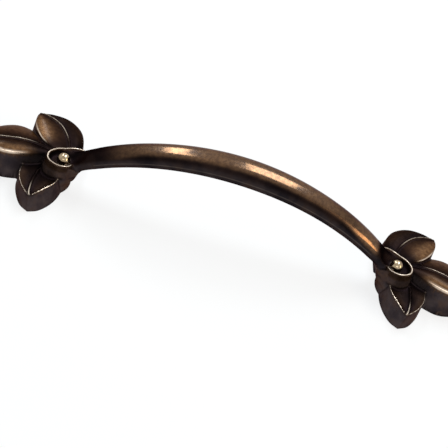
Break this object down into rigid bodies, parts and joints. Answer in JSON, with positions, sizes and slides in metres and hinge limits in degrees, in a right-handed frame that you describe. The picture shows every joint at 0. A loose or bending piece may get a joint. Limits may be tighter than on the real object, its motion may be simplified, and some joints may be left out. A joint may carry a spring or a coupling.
{
  "type": "leaf shaped pull",
  "caption": "Arched cabinet pull whose ends spread into overlapping leaves, with a bead held in a curled lip above each foot.",
  "frame": {"origin": "midway between the two screw holes on the mounting plane, which is also the bottom centre of the part's box", "axes": "+X along the pull, +Y towards the broad back leaves, +Z out of the drawer front"},
  "size_m": [0.135, 0.0304, 0.0248],
  "materials": {
    "antique_bronze": "dark antique bronze, rubbed bright on the raised edges"
  },
  "bodies": {
    "root": {"leaf_pull": "antique_bronze"}
  },
  "joints": []
}
